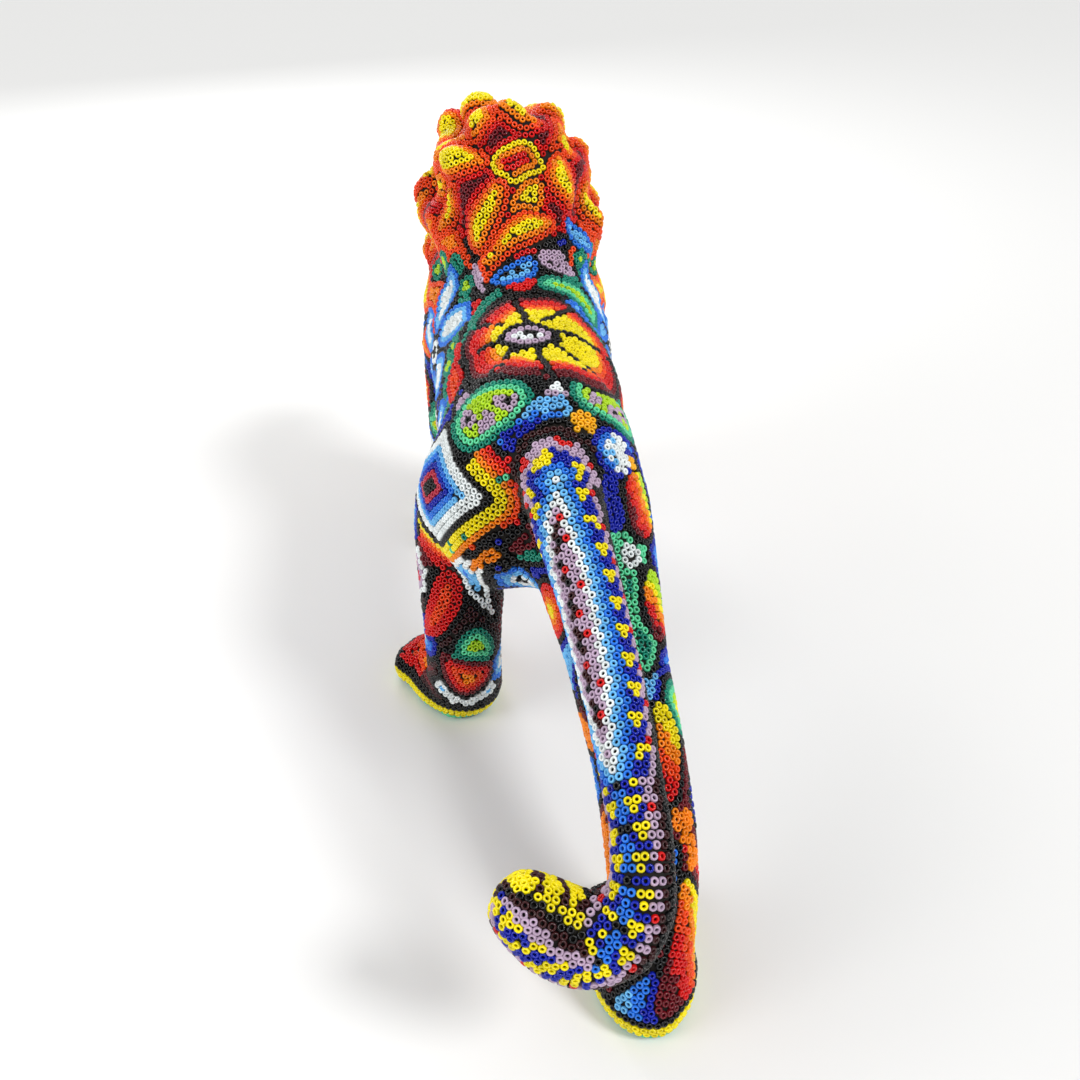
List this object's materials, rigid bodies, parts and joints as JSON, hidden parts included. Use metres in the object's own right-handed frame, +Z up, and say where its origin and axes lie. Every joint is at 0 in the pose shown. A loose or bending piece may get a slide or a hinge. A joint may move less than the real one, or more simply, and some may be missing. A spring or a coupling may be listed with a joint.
{
  "type": "beaded lion figure",
  "caption": "Free-standing walking lion sculpture: carved wood, wax coat and a skin of glass seed beads in bright motifs, long curled tail, full mane.",
  "frame": {"origin": "on the ground plane, at the middle of the figure's box", "axes": "+Z up; the lion faces -Y; +X is the lion's left side"},
  "size_m": [0.0844, 0.3104, 0.1695],
  "materials": {
    "carved_wood": "bare carved wood, sanded",
    "beeswax_coat": "soft satin beeswax and resin",
    "dowel_wood": "plain turned dowel",
    "beads_back_flower": "opaque glossy glass seed beads, holes facing out",
    "beads_haunch_left": "opaque glossy glass seed beads, holes facing out",
    "beads_haunch_right": "opaque glossy glass seed beads, holes facing out",
    "beads_flank_left": "opaque glossy glass seed beads, holes facing out",
    "beads_flank_right": "opaque glossy glass seed beads, holes facing out",
    "beads_face": "opaque glossy glass seed beads, holes facing out",
    "beads_mane": "opaque glossy glass seed beads, holes facing out",
    "beads_chest": "opaque glossy glass seed beads, holes facing out",
    "beads_tail": "opaque glossy glass seed beads, holes facing out",
    "beads_tail_tuft": "opaque glossy glass seed beads, holes facing out",
    "beads_foreleg_left": "opaque glossy glass seed beads, holes facing out",
    "beads_forepaw_left": "opaque glossy glass seed beads, holes facing out",
    "beads_foreleg_right": "opaque glossy glass seed beads, holes facing out",
    "beads_forepaw_right": "opaque glossy glass seed beads, holes facing out",
    "beads_hindleg_left": "opaque glossy glass seed beads, holes facing out",
    "beads_hindpaw_left": "opaque glossy glass seed beads, holes facing out",
    "beads_hindleg_right": "opaque glossy glass seed beads, holes facing out",
    "beads_hindpaw_right": "opaque glossy glass seed beads, holes facing out"
  },
  "bodies": {
    "root": {"beads_back_flower": "beads_back_flower", "beads_haunch_left": "beads_haunch_left", "beads_haunch_right": "beads_haunch_right", "beads_flank_left": "beads_flank_left", "beads_flank_right": "beads_flank_right", "beads_face": "beads_face", "beads_mane": "beads_mane", "beads_chest": "beads_chest", "beads_tail": "beads_tail", "beads_tail_tuft": "beads_tail_tuft", "beads_foreleg_left": "beads_foreleg_left", "beads_forepaw_left": "beads_forepaw_left", "beads_foreleg_right": "beads_foreleg_right", "beads_forepaw_right": "beads_forepaw_right", "beads_hindleg_left": "beads_hindleg_left", "beads_hindpaw_left": "beads_hindpaw_left", "beads_hindleg_right": "beads_hindleg_right", "beads_hindpaw_right": "beads_hindpaw_right", "wax_torso": "beeswax_coat", "wax_head": "beeswax_coat", "wax_foreleg_left": "beeswax_coat", "wax_foreleg_right": "beeswax_coat", "wax_hindleg_left": "beeswax_coat", "wax_hindleg_right": "beeswax_coat", "wax_tail": "beeswax_coat", "core_torso": "carved_wood", "core_head": "carved_wood", "core_foreleg_left": "carved_wood", "core_foreleg_right": "carved_wood", "core_hindleg_left": "carved_wood", "core_hindleg_right": "carved_wood", "core_tail": "carved_wood", "dowel_neck": "dowel_wood", "dowel_tail": "dowel_wood", "dowel_foreleg_left": "dowel_wood", "dowel_foreleg_right": "dowel_wood", "dowel_hindleg_left": "dowel_wood", "dowel_hindleg_right": "dowel_wood"}
  },
  "joints": []
}
